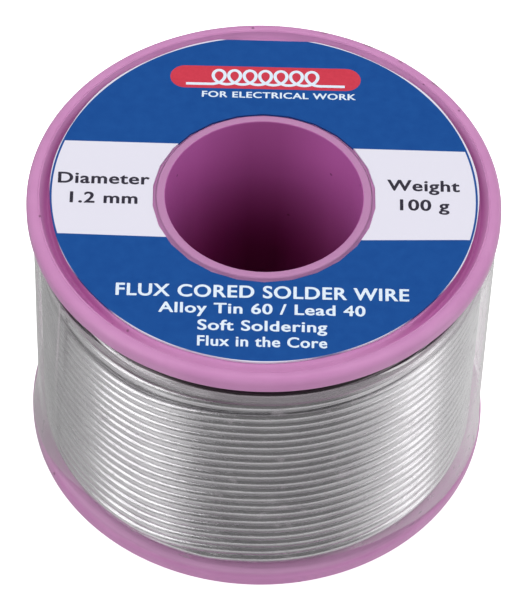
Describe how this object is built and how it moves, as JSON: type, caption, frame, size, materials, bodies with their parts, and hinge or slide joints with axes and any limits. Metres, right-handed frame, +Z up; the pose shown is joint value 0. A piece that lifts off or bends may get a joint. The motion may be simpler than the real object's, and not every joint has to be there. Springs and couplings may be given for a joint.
{
  "type": "solder wire spool",
  "caption": "Flanged plastic spool of rosin-cored solder wire, close-wound in layers under a clear film sleeve, with a printed face label and an open bore for a stand's spindle.",
  "frame": {"origin": "centre of the underside, on the spool's axis where it stands", "axes": "+Z up the spool's axis, towards the flange with the label; -Y towards the foot of the label's lettering"},
  "size_m": [0.048, 0.048, 0.0344],
  "materials": {
    "pink_plastic": "moulded, satin gloss, lightly scuffed at the rim",
    "solder_wire": "bright drawn tin-lead alloy",
    "rosin": "amber resin",
    "label_paper": "coated paper, printed blue with a white band",
    "clear_film": "clear glossy plastic film"
  },
  "bodies": {
    "root": {"upper_flange": "pink_plastic", "lower_flange": "pink_plastic", "bore_tube": "pink_plastic", "winding_barrel": "pink_plastic", "wire_layer_1": "solder_wire", "wire_layer_2": "solder_wire", "wire_layer_3": "solder_wire", "wire_layer_4": "solder_wire", "wire_free_end": "solder_wire", "rosin_core": "rosin", "face_label": "label_paper", "film_sleeve": "clear_film"}
  },
  "joints": []
}
